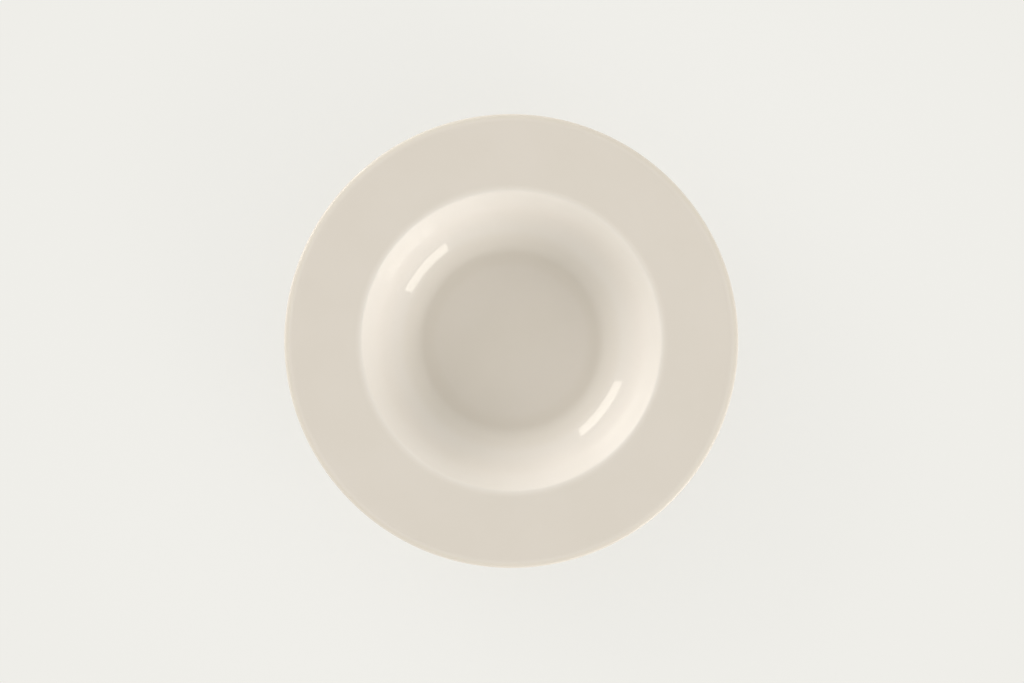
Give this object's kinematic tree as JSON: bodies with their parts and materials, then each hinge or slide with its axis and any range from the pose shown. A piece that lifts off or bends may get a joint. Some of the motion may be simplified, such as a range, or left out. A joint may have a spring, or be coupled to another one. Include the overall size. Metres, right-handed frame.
{
  "type": "rimmed soup plate",
  "caption": "Round soup plate with a wide, gently rising rim, a deep round well with a soft lip, and a low foot ring that is bare of glaze where it stands.",
  "frame": {"origin": "middle of the foot ring's standing face, which is the bottom centre of the plate's box", "axes": "+Z is the plate's axis of symmetry, up out of the well; X and Y lie in the plane it stands on"},
  "size_m": [0.23, 0.23, 0.0395],
  "materials": {
    "porcelain": "unglazed, ground and polished matt",
    "glaze": "smooth ivory gloss"
  },
  "bodies": {
    "root": {"porcelain_body": "porcelain", "outer_glaze": "glaze", "base_glaze": "glaze"}
  },
  "joints": []
}
